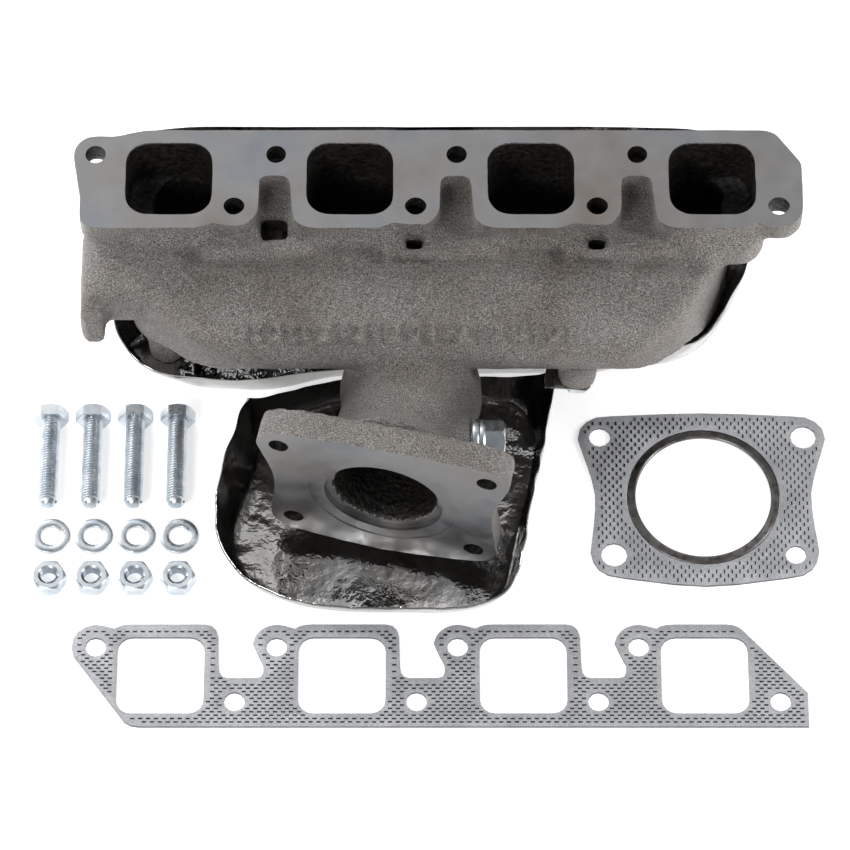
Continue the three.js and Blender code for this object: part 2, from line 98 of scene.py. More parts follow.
# %% [markdown]
# A material here is a Principled shader with a few helper nodes. Small functions keep the graphs short: one
# makes the material, others add noise, a colour ramp or a bump. Every pattern is on Object coordinates, so
# its grain has a real size, and it stays in place when a piece moves.

# %% Helpers for materials


class Paint:
    """A Principled material and the nodes that feed it."""

    def __init__(self, name, color, roughness, metallic):
        self.material = bpy.data.materials.new(name)
        self.material.use_nodes = True
        self.tree = self.material.node_tree
        self.shader = self.tree.nodes["Principled BSDF"]
        self.shader.inputs["Base Color"].default_value = (*color, 1)
        self.shader.inputs["Roughness"].default_value = roughness
        self.shader.inputs["Metallic"].default_value = metallic
        self.place = self.tree.nodes.new("ShaderNodeTexCoord").outputs["Object"]

    def link(self, start, end):
        self.tree.links.new(start, end)

    def node(self, kind, **settings):
        made = self.tree.nodes.new(kind)
        for key, value in settings.items():
            setattr(made, key, value)
        return made

    def stretch(self, scale, shift=(0, 0, 0)):
        mapping = self.node("ShaderNodeMapping")
        mapping.inputs["Scale"].default_value = scale
        mapping.inputs["Location"].default_value = shift
        self.link(self.place, mapping.inputs["Vector"])
        return mapping.outputs["Vector"]

    def noise(self, scale, detail=3, roughness=0.55, vector=None):
        made = self.node("ShaderNodeTexNoise")
        made.inputs["Scale"].default_value = scale
        made.inputs["Detail"].default_value = detail
        made.inputs["Roughness"].default_value = roughness
        self.link(vector or self.place, made.inputs["Vector"])
        return made.outputs["Fac"]

    def cells(self, scale):
        made = self.node("ShaderNodeTexVoronoi")
        made.inputs["Scale"].default_value = scale
        self.link(self.place, made.inputs["Vector"])
        return made.outputs["Distance"]

    def ramp(self, value, stops):
        made = self.node("ShaderNodeValToRGB")
        while len(made.color_ramp.elements) < len(stops):
            made.color_ramp.elements.new(0.5)
        for element, (position, color) in zip(made.color_ramp.elements, stops):
            element.position = position
            element.color = (*color, 1) if len(color) == 3 else (color[0], color[0], color[0], 1)
        self.link(value, made.inputs["Fac"])
        return made.outputs["Color"]

    def multiply(self, share, first, second):
        """The first colour, darkened or lightened by the second as far as the share says."""
        made = self.node("ShaderNodeMix", data_type="RGBA", blend_type="MULTIPLY")
        sockets = {s.name: s for s in made.inputs if s.enabled}
        sockets["Factor"].default_value = share
        self.link(first, sockets["A"])
        self.link(second, sockets["B"])
        return [s for s in made.outputs if s.enabled][0]

    def sum(self, first, second, weight):
        made = self.node("ShaderNodeMath", operation="MULTIPLY_ADD")
        self.link(second, made.inputs[0])
        made.inputs[1].default_value = weight
        self.link(first, made.inputs[2])
        return made.outputs[0]

    def bump(self, height, depth, strength=1.0):
        made = self.node("ShaderNodeBump")
        made.inputs["Strength"].default_value = strength
        made.inputs["Distance"].default_value = depth
        self.link(height, made.inputs["Height"])
        self.link(made.outputs["Normal"], self.shader.inputs["Normal"])

    def color(self, socket):
        self.link(socket, self.shader.inputs["Base Color"])

    def rough(self, value, low, high):
        self.link(self.ramp(value, [(0.3, (low,)), (0.7, (high,))]), self.shader.inputs["Roughness"])


# %% [markdown]
# Sand-cast iron is grey with a brown cast. It is not smooth anywhere: each grain of the mould leaves a small
# pit, and each pit's edge glints. The relief has three sizes: grain of under a millimetre, pits of about
# one, and a swell of about four. A slow noise moves the colour between grey and brown. A noise's scale is
# how many of its lumps fit in a metre.

# %% Cast iron


IRON_CLOUD = 22
IRON_GRAIN = 1500
IRON_PITS = 800
IRON_SWELL = 240


def cast_iron():
    paint = Paint("cast_iron", (0.19, 0.17, 0.15), 0.5, 0.8)
    slow = paint.noise(IRON_CLOUD, 4)
    grain = paint.noise(IRON_GRAIN, 4, 0.75)
    pits = paint.cells(IRON_PITS)
    body = paint.ramp(slow, [(0.3, (0.24, 0.22, 0.203)), (0.5, (0.30, 0.282, 0.266)),
                             (0.7, (0.35, 0.335, 0.32))])
    speckle = paint.ramp(grain, [(0.36, (0.2,)), (0.5, (0.85,)), (0.62, (1.9,))])
    paint.color(paint.multiply(0.95, body, speckle))
    relief = paint.sum(paint.sum(grain, pits, 0.6), paint.noise(IRON_SWELL, 3), 1.0)
    paint.bump(relief, 0.0014, 1.0)
    paint.rough(grain, 0.30, 0.6)
    return paint.material


# %% [markdown]
# In the ports, holes, windows, neck and bore the skin of the iron is the same sand texture, but black: oxide
# where the exhaust flows, and painted shade in the holes, in the windows and deep in the passages. The
# machined
# faces are bright: a milling cutter has left fine arcs across them, and heat and oil have tinted them in
# blue and brown patches.

# %% Black skin of oxide and painted shade, and milled faces


OXIDE_SHADE_GRAIN = 420
OXIDE_SHADE_PITS = 300
CUTTER_MARKS = 420
HEAT_TINT = 17


# The black skin is oxide where the exhaust flows, and painted shade in holes, windows and deep in the
# passages.
def oxide_and_painted_shade():
    paint = Paint("oxide_and_painted_shade", (0.03, 0.028, 0.026), 0.42, 0.3)
    grain = paint.noise(OXIDE_SHADE_GRAIN, 4, 0.7)
    paint.color(paint.ramp(grain, [(0.4, (0.006, 0.0055, 0.005)), (0.75, (0.05, 0.045, 0.04))]))
    paint.bump(paint.sum(grain, paint.cells(OXIDE_SHADE_PITS), 0.6), 0.0012, 0.9)
    return paint.material


def milled(name, centre):
    paint = Paint(name, (0.3, 0.3, 0.3), 0.36, 1.0)
    rings = paint.node("ShaderNodeTexWave", wave_type="RINGS", rings_direction="SPHERICAL",
                       wave_profile="SAW")
    rings.inputs["Scale"].default_value = CUTTER_MARKS
    rings.inputs["Distortion"].default_value = 0.8
    rings.inputs["Detail"].default_value = 2
    paint.link(paint.stretch((1, 1, 1), shift=tuple(-c for c in centre)), rings.inputs["Vector"])
    tint = paint.noise(HEAT_TINT, 3)
    color = paint.ramp(tint, [(0.28, (0.235, 0.21, 0.19)), (0.42, (0.275, 0.265, 0.26)),
                              (0.55, (0.285, 0.285, 0.29)), (0.68, (0.25, 0.265, 0.29)),
                              (0.8, (0.215, 0.23, 0.26))])
    lines = paint.ramp(rings.outputs["Fac"], [(0.0, (0.72,)), (1.0, (1.12,))])
    paint.color(paint.multiply(0.6, color, lines))
    paint.bump(rings.outputs["Fac"], 0.00005, 0.6)
    paint.rough(paint.noise(90, 4), 0.3, 0.5)
    return paint.material


# %% [markdown]
# The shields are thin aluminised sheet, darkened by handling and nearly a mirror. Most of what is seen in
# them is a reflection, so the surface needs gentle waves more than it needs colour. Streaks run down the
# walls, where the sheet was drawn.

# %% Shield sheet


DRAWN_STREAKS = (95, 95, 9)
SHEET_DENTS = 34
SHEET_RIPPLES = 120


def shield_sheet():
    paint = Paint("shield_sheet", (0.34, 0.33, 0.325), 0.14, 1.0)
    cloud = paint.noise(28, 4)
    paint.color(paint.ramp(cloud, [(0.3, (0.32, 0.315, 0.31)), (0.55, (0.40, 0.395, 0.39)),
                                   (0.75, (0.46, 0.46, 0.46))]))
    paint.rough(paint.noise(60, 5, 0.65), 0.08, 0.22)
    streaks = paint.noise(1, 3, vector=paint.stretch(DRAWN_STREAKS))
    waves = paint.sum(paint.noise(SHEET_DENTS, 2), paint.noise(SHEET_RIPPLES, 3), 0.25)
    paint.bump(paint.sum(waves, streaks, 0.6), 0.0024, 0.65)
    return paint.material


# %% [markdown]
# The fasteners are zinc plated: a cool, satin silver with slight clouds in it. The gasket sheet is a grey
# composite pressed on a steel core, and its small pierced teeth show dark slits, which are painted shade.
# The fire ring is a darker steel.

# %% Zinc, gasket and ring finishes


def zinc():
    paint = Paint("zinc_plate", (0.62, 0.66, 0.7), 0.3, 1.0)
    cloud = paint.noise(120, 4)
    paint.color(paint.ramp(cloud, [(0.3, (0.46, 0.51, 0.56)), (0.6, (0.66, 0.70, 0.74)),
                                   (0.8, (0.72, 0.73, 0.72))]))
    paint.rough(paint.noise(400, 3), 0.24, 0.42)
    paint.bump(paint.noise(900, 3), 0.00008, 0.5)
    return paint.material


def gasket_sheet():
    paint = Paint("gasket_sheet", (0.5, 0.51, 0.53), 0.55, 0.35)
    fine = paint.noise(1100, 4, 0.7)
    cloud = paint.noise(60, 3)
    base = paint.ramp(cloud, [(0.3, (0.40, 0.41, 0.43)), (0.7, (0.53, 0.54, 0.56))])
    grain = paint.ramp(fine, [(0.35, (0.66,)), (0.65, (1.12,))])
    paint.color(paint.multiply(0.85, base, grain))
    paint.bump(fine, 0.00022, 0.7)
    return paint.material


def plain_metal(name, low, high, roughness, scale=200):
    paint = Paint(name, high, roughness, 1.0)
    paint.color(paint.ramp(paint.noise(scale, 4), [(0.3, low), (0.7, high)]))
    paint.rough(paint.noise(scale * 2, 3), roughness * 0.8, roughness * 1.25)
    paint.bump(paint.noise(scale * 4, 3), 0.00006, 0.5)
    return paint.material


# %% [markdown]
# Three short functions cover how a piece gets into the scene: a merged copy of an engineering node, a mesh
# object from a bmesh, and the line that says which body the piece rides on and which node it stands for.

# %% Helpers for pieces


def merged_copy(node):
    bm = bmesh.new()
    bm.from_mesh(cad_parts[node].data)
    bmesh.ops.remove_doubles(bm, verts=bm.verts, dist=2e-6)
    return bm


def to_object(bm, name, materials, smooth=True):
    mesh = bpy.data.meshes.new(name)
    for face in bm.faces:
        face.smooth = smooth
    bm.to_mesh(mesh)
    bm.free()
    for material in materials:
        mesh.materials.append(material)
    piece = bpy.data.objects.new(name, mesh)
    bpy.context.collection.objects.link(piece)
    return piece


def stand_for(piece, body, slot, *nodes):
    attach(piece, body)
    if nodes:
        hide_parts(*nodes)
    print(piece.name, "faces", len(piece.data.polygons))


def baked(piece):
    """The piece's mesh with its modifiers worked in."""
    graph = bpy.context.evaluated_depsgraph_get()
    mesh = bpy.data.meshes.new_from_object(piece.evaluated_get(graph))
    piece.modifiers.clear()
    piece.data = mesh
    return piece


def sharpen(bm, angle):
    """Edges that turn by more than the angle stay crisp under smooth shading."""
    for edge in bm.edges:
        if len(edge.link_faces) == 2 and edge.calc_face_angle(0) > angle:
            edge.smooth = False


# %% [markdown]
# The casting is made as a foundry makes it. First comes the rough casting: the engineering shape with 3 mm
# of extra metal on the two faces that will be machined. A voxel remesh melts it into one skin, and smoothing
# rounds every edge and corner, as sand does. A worn row of marks is raised on the log, and the pads under
# the webs get a ledge. Then the faces are cut flat, so their edges are crisp while all others are soft.
# Places on the casting are given in millimetres from HEAD.

# %% Where the machined faces are
FACE_Z = HEAD.z
PORT_PITCH = 92 * MM
PORTS = [HEAD + Vector((PORT_PITCH * step, 0, 0)) for step in (-1.5, -0.5, 0.5, 1.5)]
OUTLET_YAW = math.radians(12)
OUTLET_OUT = Vector((-math.sin(OUTLET_YAW), -math.cos(OUTLET_YAW), 0))
OUTLET_ACROSS = Vector((math.cos(OUTLET_YAW), -math.sin(OUTLET_YAW), 0))
OUTLET_FROM_HEAD = Vector((-29.1, -153.5, -60)) * MM
OUTLET = HEAD + OUTLET_FROM_HEAD
ON_FACE = 0.02 * MM
STOCK = 3 * MM
VOXEL = 2.0 * MM
print("head face at", round(FACE_Z, 4), "outlet at", [round(c, 4) for c in OUTLET])

# %% The rough casting
MARK_WIDTHS = [7, 3, 7, 3, 3, 8, 3, 6, 3, 7, 7, 3, 3, 8, 3, 6, 7, 3, 7, 3]
MARK_START = -104.0
MARK_GAP = 3.8
MARK_LOW, MARK_MIDDLE, MARK_HIGH = -81.5, -77, -72.5
MARK_DEEPEST, MARK_SHALLOWEST = -30, -15
MARK_NOTCH = 1.3
MARK_RISE = 1.8
WEB_CENTRES = (-92, 0, 92)
PAD_DEEPEST, PAD_SHALLOWEST = -26, -11
PAD_REACH = 36
PAD_HALF = 33
PAD_TAPER = 0.5
LEDGE_HIGH, LEDGE_LOW, GROOVE_LOW = -30, -38, -42
LEDGE_RISE = 1.7
GROOVE_DEPTH = 1.4
SWELL_SCALE, RIPPLE_SCALE = 70, 210


def add_stock(bm):
    for vert in bm.verts:
        if vert.co.z > FACE_Z - ON_FACE:
            vert.co.z += STOCK
        elif (vert.co - OUTLET).dot(OUTLET_OUT) > -ON_FACE:
            vert.co += OUTLET_OUT * STOCK


def mark_spans():
    """Where each tick of the worn row starts and ends along the log."""
    spans = []
    left = MARK_START
    for width in MARK_WIDTHS:
        spans.append((left, left + width))
        left += width + MARK_GAP
    return spans


def raise_foundry_marks(bm):
    """A worn row of raised ticks along the log's lower front, with no meaning."""
    spans = mark_spans()
    bm.normal_update()
    for vert in bm.verts:
        away = (vert.co - HEAD) / MM
        if not (MARK_LOW < away.y < MARK_HIGH and MARK_DEEPEST < away.z < MARK_SHALLOWEST):
            continue
        inside = any(low < away.x < high for low, high in spans)
        notch = abs(away.y - MARK_MIDDLE) < MARK_NOTCH and int(away.x) % 3 == 0
        if inside and not notch:
            vert.co += vert.normal * MARK_RISE * MM
    print("foundry marks", len(spans))


def sharpen_pads(bm):
    """The raised pad under each web ends in a crisp ledge, with a groove below it."""
    bm.normal_update()
    for vert in bm.verts:
        away = (vert.co - HEAD) / MM
        across = min(abs(away.x - centre) for centre in WEB_CENTRES)
        if not PAD_DEEPEST < away.z < PAD_SHALLOWEST or across > PAD_REACH:
            continue
        ledge_half = PAD_HALF - PAD_TAPER * (LEDGE_HIGH - away.y)
        if LEDGE_LOW < away.y < LEDGE_HIGH and across < ledge_half:
            vert.co += vert.normal * LEDGE_RISE * MM
        elif GROOVE_LOW < away.y <= LEDGE_LOW and across < PAD_HALF:
            vert.co -= vert.normal * GROOVE_DEPTH * MM


def remeshed(bm, voxel):
    piece = to_object(bm, "rough_casting", [])
    modifier = piece.modifiers.new("skin", "REMESH")
    modifier.mode = "VOXEL"
    modifier.voxel_size = voxel
    modifier.adaptivity = 0
    baked(piece)
    made = bmesh.new()
    made.from_mesh(piece.data)
    bpy.data.objects.remove(piece)
    return made


def relax(bm, rounds):
    for _ in range(rounds):
        bmesh.ops.smooth_vert(bm, verts=bm.verts, factor=0.5, use_axis_x=True, use_axis_y=True,
                              use_axis_z=True)


def sand_relief(bm, deep):
    bm.normal_update()
    for vert in bm.verts:
        wave = noise.noise(vert.co * SWELL_SCALE) * 0.6 + noise.noise(vert.co * RIPPLE_SCALE) * 0.4
        vert.co += vert.normal * wave * deep


def mill(bm, point, outward):
    """Cuts everything past a plane and closes the cut with a flat face."""
    geometry = bm.verts[:] + bm.edges[:] + bm.faces[:]
    cut = bmesh.ops.bisect_plane(bm, geom=geometry, plane_co=point, plane_no=outward, clear_outer=True)
    rim = [e for e in cut["geom_cut"] if isinstance(e, bmesh.types.BMEdge)]
    filled = bmesh.ops.triangle_fill(bm, edges=rim, use_beauty=True, use_dissolve=False, normal=outward)
    caps = [f for f in filled["geom"] if isinstance(f, bmesh.types.BMFace)]
    for edge in rim:
        edge.smooth = False
    for face in caps:
        if face.normal.dot(outward) < 0:
            face.normal_flip()
    return caps


# %% [markdown]
# Black skin is found by place: faces that look into a port, a hole, a window between two runners, the neck,
# or the bore behind the outlet's recess. In the ports, neck and bore it is oxide and painted shade; in the
# stud and bolt holes and the windows, where no exhaust flows, it is painted shade only. Each test below
# takes a spot and says whether it is in such a space.

# %% Where the skin is black
NECK_ROOT = HEAD + Vector((-13, -74, -76)) * MM
NECK_TOP = OUTLET - OUTLET_OUT * 15 * MM
NECK_RADIUS = 29 * MM
WINDOWS = [(-91.4, -29, -77.6, -15.5), (-19.3, -36, -7.5, -27.5), (73.2, -36, 85, -27.5)]
WINDOW_TOP = -15.5
PORT_HALF_WIDE, PORT_HALF_HIGH = 23.4, 23
PORT_TOP = -1.5
STUDS = [(-37.8, 14.5), (33.3, -16.5)]
STUD_END = -14
HOLE_RADIUS = 6.4
BORE_RADIUS = 28 * MM
BORE_SPAN = (-18 * MM, -4.5 * MM)
OUTLET_HOLES = [(-53, 35.5), (53, 35.5), (-46.7, -34.1), (46.7, -34.1)]
OUTLET_HOLE_SPAN = (-15.5 * MM, -0.2 * MM)


def from_line(spot, start, end):
    way = (end - start).normalized()
    along = (spot - start).dot(way)
    return along, (spot - start - way * along).length


def near_one(x, y, centres):
    return any(math.hypot(x - a, y - b) < HOLE_RADIUS for a, b in centres)


# Port insides get oxide and painted shade; stud holes get painted shade only.
def in_port_or_stud(spot):
    for port in PORTS:
        away = (spot - port) / MM
        if abs(away.x) < PORT_HALF_WIDE and abs(away.y) < PORT_HALF_HIGH and away.z < PORT_TOP:
            return True
        if away.z > STUD_END and near_one(away.x, away.y, STUDS):
            return True
    return False


# Windows are holes through the web: their black skin is painted shade.
def in_window(spot):
    away = (spot - HEAD) / MM
    return away.z < WINDOW_TOP and any(x0 - 1 < away.x < x1 + 1 and y0 - 1 < away.y < y1 + 1
                                       for x0, y0, x1, y1 in WINDOWS)


def in_neck(spot):
    along, off = from_line(spot, NECK_ROOT, NECK_TOP)
    return 0 < along < (NECK_TOP - NECK_ROOT).length and off < NECK_RADIUS


# The bore gets oxide and painted shade; the bolt holes round it get painted shade only.
def in_outlet(spot):
    along, off = from_line(spot, OUTLET, OUTLET + OUTLET_OUT)
    if BORE_SPAN[0] < along < BORE_SPAN[1] and off < BORE_RADIUS:
        return True
    across = (spot - OUTLET).dot(OUTLET_ACROSS) / MM
    rise = (spot.z - OUTLET.z) / MM
    return OUTLET_HOLE_SPAN[0] < along < OUTLET_HOLE_SPAN[1] and near_one(across, rise, OUTLET_HOLES)


# Black skin, oxide and painted shade, goes wherever one of these tests holds.
def in_oxide_or_shade(spot):
    return in_port_or_stud(spot) or in_window(spot) or in_neck(spot) or in_outlet(spot)


# %% [markdown]
# The outlet's face has a shallow round step and a deeper recess for the ring of its gasket. Both are turned
# after milling.

# %% Finish the casting
STEP_RADIUS = 38 * MM
STEP_DEPTH = 0.6 * MM
RECESS_RADIUS = 30.5 * MM
RECESS_DEPTH = 4 * MM
# The second slot is the black skin: oxide and painted shade.
IRON_SKIN, OXIDE_AND_SHADE_SKIN, HEAD_FACE, OUTLET_FACE = range(4)


def turn_recess(piece, outlet_face, radius, deep):
    """Turns a round step into the outlet's face, which leaves crisp machined edges."""
    bm = bmesh.new()
    matrix = Matrix.Translation(OUTLET) @ OUTLET_OUT.to_track_quat("Z", "Y").to_matrix().to_4x4()
    bmesh.ops.create_cone(bm, segments=96, radius1=radius, radius2=radius, depth=2 * deep, cap_ends=True,
                          matrix=matrix)
    tool = to_object(bm, "recess_tool", [outlet_face])
    modifier = piece.modifiers.new("recess", "BOOLEAN")
    modifier.operation = "DIFFERENCE"
    modifier.object = tool
    modifier.solver = "EXACT"
    modifier.material_mode = "TRANSFER"
    baked(piece)
    bpy.data.objects.remove(tool)


def crisp_machining(piece):
    """Edges of machined faces stay sharp under smooth shading."""
    bm = bmesh.new()
    bm.from_mesh(piece.data)
    for edge in bm.edges:
        machined = any(face.material_index >= HEAD_FACE for face in edge.link_faces)
        if machined and len(edge.link_faces) == 2 and edge.calc_face_angle(0) > math.radians(30):
            edge.smooth = False
    bm.to_mesh(piece.data)
    bm.free()


def make_casting(iron, oxide_and_shade, head_face, outlet_face):
    bm = merged_copy("manifold_casting")
    add_stock(bm)
    bm = remeshed(bm, VOXEL)
    relax(bm, 2)
    raise_foundry_marks(bm)
    sharpen_pads(bm)
    sand_relief(bm, 0.4 * MM)
    head_caps = mill(bm, Vector((0, 0, FACE_Z)), Vector((0, 0, 1)))
    for face in head_caps:
        face.material_index = HEAD_FACE
    outlet_caps = mill(bm, OUTLET, OUTLET_OUT)
    for face in outlet_caps:
        face.material_index = OUTLET_FACE
    # Faces in the ports, holes, windows, neck and bore get the black skin: oxide, and painted shade.
    for face in bm.faces:
        if face.material_index == IRON_SKIN and in_oxide_or_shade(face.calc_center_median()):
            face.material_index = OXIDE_AND_SHADE_SKIN
    piece = to_object(bm, "casting", [iron, oxide_and_shade, head_face, outlet_face])
    turn_recess(piece, outlet_face, STEP_RADIUS, STEP_DEPTH)
    turn_recess(piece, outlet_face, RECESS_RADIUS, RECESS_DEPTH)
    crisp_machining(piece)
    print("casting triangles", sum(len(face.vertices) - 2 for face in piece.data.polygons))
    stand_for(piece, "manifold", "cast_iron", "manifold_casting")
    return piece


IRON = cast_iron()
# The black skin material: oxide where the exhaust flows, painted shade in holes and windows.
OXIDE_AND_SHADE = oxide_and_painted_shade()
make_casting(IRON, OXIDE_AND_SHADE, milled("head_milling", HEAD + Vector((0.02, -0.5, 0))),
             milled("outlet_milling", OUTLET))

# %% [markdown]
# A pressed shield is one sheet. The engineering sheet is coarse, so it is subdivided into a smooth one that
# keeps its sharp edges. Then the wall gets the small folds that appear when flat metal is drawn into a dish.
# They are deepest high on the wall, and fade towards the floor and just under the rim. Both sides of the
# sheet move almost alike, so it keeps its thickness.

# %% The heat shields
SHEET = shield_sheet()
SHARP_TURN = math.radians(50)
FLOOR_CLEAR = 6 * MM
UPPER_FOLD, UPPER_FOLDS = 0.8 * MM, 46
LOWER_FOLD, LOWER_FOLDS = 1.6 * MM, 30


def outward_of(spot, centre):
    away = Vector((spot.x - centre.x, spot.y - centre.y, 0))
    return away.normalized() if away.length > 1e-6 else Vector((1, 0, 0))


def press_folds(bm, centre, deep, low, high, folds):
    for vert in bm.verts:
        rise = min(1, max(0, (vert.co.z - low) / (high - low)))
        away = outward_of(vert.co, centre)
        turn = math.atan2(away.y, away.x)
        wave = math.sin(turn * folds + 3 * noise.noise(Vector((turn * 3, 0, low))))
        drift = noise.noise(vert.co * 45) + 0.5 * noise.noise(vert.co * 110)
        depth = deep * (0.5 + 0.5 * wave + 0.55 * abs(drift)) * rise ** 0.8 * (1 - 0.7 * rise ** 4)
        vert.co -= away * depth


def refined(bm, levels):
    """Subdivides into a smooth sheet that keeps its sharp edges."""
    crease = bm.edges.layers.float.new("crease_edge")
    for edge in bm.edges:
        if len(edge.link_faces) == 2 and edge.calc_face_angle(0) > SHARP_TURN:
            edge[crease] = 0.85
    piece = to_object(bm, "coarse_sheet", [])
    modifier = piece.modifiers.new("fine", "SUBSURF")
    modifier.levels = levels
    baked(piece)
    made = bmesh.new()
    made.from_mesh(piece.data)
    bpy.data.objects.remove(piece)
    return made


def make_shield(node, deep, folds):
    low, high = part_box(node)
    centre = (low + high) / 2
    bm = merged_copy(node)
    bmesh.ops.join_triangles(bm, faces=bm.faces, angle_face_threshold=0.6, angle_shape_threshold=0.9)
    bm = refined(bm, 2)
    press_folds(bm, centre, deep, low.z + FLOOR_CLEAR, high.z, folds)
    sharpen(bm, SHARP_TURN)
    piece = to_object(bm, node + "_sheet", [SHEET])
    stand_for(piece, "manifold", "shield_steel", node)
    return piece


make_shield("heat_shield_upper", UPPER_FOLD, UPPER_FOLDS)
make_shield("heat_shield_lower", LOWER_FOLD, LOWER_FOLDS)

# %% [markdown]
# Hexagon heads and nuts are forged with their corners turned off at 30 degrees. The same thing is done here:
# a six-sided bar is cut with a turned cone, so the chamfer makes the curved edges on each flat.

# %% Hexagons and threads
ZINC = zinc()
CHAMFER_SLOPE = math.tan(math.radians(30))
CHAMFER_START = 0.475
CREASE_TURN = math.radians(28)


def hex_blank(flats, height, both_ends):
    corner = flats / math.sqrt(3)
    bar = bmesh.new()
    standing = Matrix.Translation((0, 0, height / 2)) @ Matrix.Rotation(math.pi / 2, 4, "Z")
    bmesh.ops.create_cone(bar, segments=6, radius1=corner, radius2=corner, depth=height, cap_ends=True,
                          matrix=standing)
    low = 0 if both_ends else -height
    spread = corner * 1.02
    flat_end = flats * CHAMFER_START
    drop = (spread - flat_end) * CHAMFER_SLOPE
    profile = [(0, low), (flat_end, low), (spread, low + drop), (spread, height - drop),
               (flat_end, height), (0, height)]
    turned = bmesh.new()
    verts = [turned.verts.new((r, 0, z)) for r, z in profile]
    edges = [turned.edges.new(pair) for pair in zip(verts, verts[1:])]
    bmesh.ops.spin(turned, geom=verts + edges, axis=(0, 0, 1), cent=(0, 0, 0), angle=math.tau, steps=72,
                   use_merge=True)
    bmesh.ops.remove_doubles(turned, verts=turned.verts, dist=1e-6)
    bmesh.ops.recalc_face_normals(turned, faces=turned.faces)
    return intersection(bar, turned)


def intersection(first, second, operation="INTERSECT"):
    one = to_object(first, "blank", [])
    two = to_object(second, "tool", [])
    modifier = one.modifiers.new("cut", "BOOLEAN")
    modifier.operation = operation
    modifier.object = two
    modifier.solver = "EXACT"
    baked(one)
    made = bmesh.new()
    made.from_mesh(one.data)
    bpy.data.objects.remove(one)
    bpy.data.objects.remove(two)
    return made


def helix(radius, root, pitch, length, steps=22):
    """A screw thread: one tooth swept up round the axis for as many turns as fit."""
    bm = bmesh.new()
    turns = round(length / pitch)
    tooth = [(root, 0), (radius, pitch * 0.42), (radius, pitch * 0.58), (root, pitch)]
    verts = [bm.verts.new((r, 0, z - pitch)) for r, z in tooth]
    edges = [bm.edges.new(pair) for pair in zip(verts, verts[1:])]
    bmesh.ops.spin(bm, geom=verts + edges, axis=(0, 0, 1), cent=(0, 0, 0), dvec=(0, 0, pitch / steps),
                   angle=math.tau * turns, steps=steps * turns)
    bmesh.ops.remove_doubles(bm, verts=bm.verts, dist=1e-6)
    return bm


print("hexagons ready")

# %% Turned bodies


def turned_body(profile, steps=48):
    """Spins a closed or axis-to-axis outline of (radius, height) points into a solid."""
    bm = bmesh.new()
    verts = [bm.verts.new((r, 0, z)) for r, z in profile]
    pairs = list(zip(verts, verts[1:]))
    if profile[0][0] > 0:
        pairs.append((verts[-1], verts[0]))
    edges = [bm.edges.new(pair) for pair in pairs]
    bmesh.ops.spin(bm, geom=verts + edges, axis=(0, 0, 1), cent=(0, 0, 0), angle=math.tau, steps=steps,
                   use_merge=True)
    bmesh.ops.remove_doubles(bm, verts=bm.verts, dist=1e-6)
    bmesh.ops.recalc_face_normals(bm, faces=bm.faces)
    return bm


def gather(*parts):
    whole = bmesh.new()
    for bm, matrix in parts:
        bmesh.ops.transform(bm, matrix=matrix, verts=bm.verts)
        mesh = bpy.data.meshes.new("part")
        bm.to_mesh(mesh)
        bm.free()
        whole.from_mesh(mesh)
        bpy.data.meshes.remove(mesh)
    return whole


def place(bm, spot, turn, axis):
    """Turns a part that stands on the origin, and moves it to its spot."""
    matrix = Matrix.Translation(spot) @ Matrix.Rotation(turn, 4, axis)
    bmesh.ops.transform(bm, matrix=matrix, verts=bm.verts)


def ring_profile(inner, outer, low, high, edge):
    return [(inner + edge, low), (outer - edge, low), (outer, low + edge), (outer, high - edge),
            (outer - edge, high), (inner + edge, high), (inner, high - edge), (inner, low + edge)]


# %% [markdown]
# The four loose bolts have 50 mm of rolled M10 thread, 1.5 mm in pitch, on a core that ends in a cone. The
# head has its chamfer on the top only, and a thin round face under it.

# %% Loose bolts
STRAIGHT = Matrix.Identity(4)
BOLT_RADIUS = 5 * MM
BOLT_LENGTH = 50 * MM
BOLT_FLATS = 16 * MM
BOLT_HEAD = 6.4 * MM
PITCH = 1.5 * MM
THREAD_DEPTH = 0.92 * MM
BOLT_TIP = 1.3 * MM


def make_bolt(index):
    node = f"outlet_bolt_{index}"
    low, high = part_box(node)
    root = BOLT_RADIUS - THREAD_DEPTH
    head = hex_blank(BOLT_FLATS, BOLT_HEAD, False)
    core = turned_body([(0, 0.3 * MM), (root, 0.3 * MM), (root, BOLT_TIP - BOLT_LENGTH),
                        (root - BOLT_TIP * 0.7, -BOLT_LENGTH), (0, -BOLT_LENGTH)], 32)
    thread = helix(BOLT_RADIUS - 0.02 * MM, root, PITCH, BOLT_LENGTH - 2.6 * MM)
    collar = turned_body([(0, 0.2 * MM), (7.2 * MM, 0.2 * MM), (7.2 * MM, -0.01 * MM), (0, -0.01 * MM)], 40)
    lift = Matrix.Translation((0, 0, -BOLT_LENGTH + 1.6 * MM + PITCH))
    bm = gather((head, STRAIGHT), (core, STRAIGHT), (thread, lift), (collar, STRAIGHT))
    spot = Vector(((low.x + high.x) / 2, high.y - BOLT_HEAD, (low.z + high.z) / 2))
    place(bm, spot, -math.pi / 2, "X")
    sharpen(bm, CREASE_TURN)
    piece = to_object(bm, f"bolt_{index}", [ZINC])
    stand_for(piece, f"loose_bolt_{index}", "zinc_plate", node)


for number in range(1, 5):
    make_bolt(number)

# %% Loose washers and nuts
WASHER_HOLE = 5.25 * MM
WASHER_RADIUS = 10 * MM
NUT_BORE = 4.35 * MM
NUT_MOUTH = 5.4 * MM


def make_washer(index):
    node = f"outlet_washer_{index}"
    low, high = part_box(node)
    bm = turned_body(ring_profile(WASHER_HOLE, WASHER_RADIUS, low.z, high.z, 0.25 * MM), 64)
    centre = (low + high) / 2
    bmesh.ops.translate(bm, verts=bm.verts, vec=(centre.x, centre.y, 0))
    sharpen(bm, math.radians(60))
    piece = to_object(bm, f"washer_{index}", [ZINC])
    stand_for(piece, f"loose_washer_{index}", "zinc_plate", node)


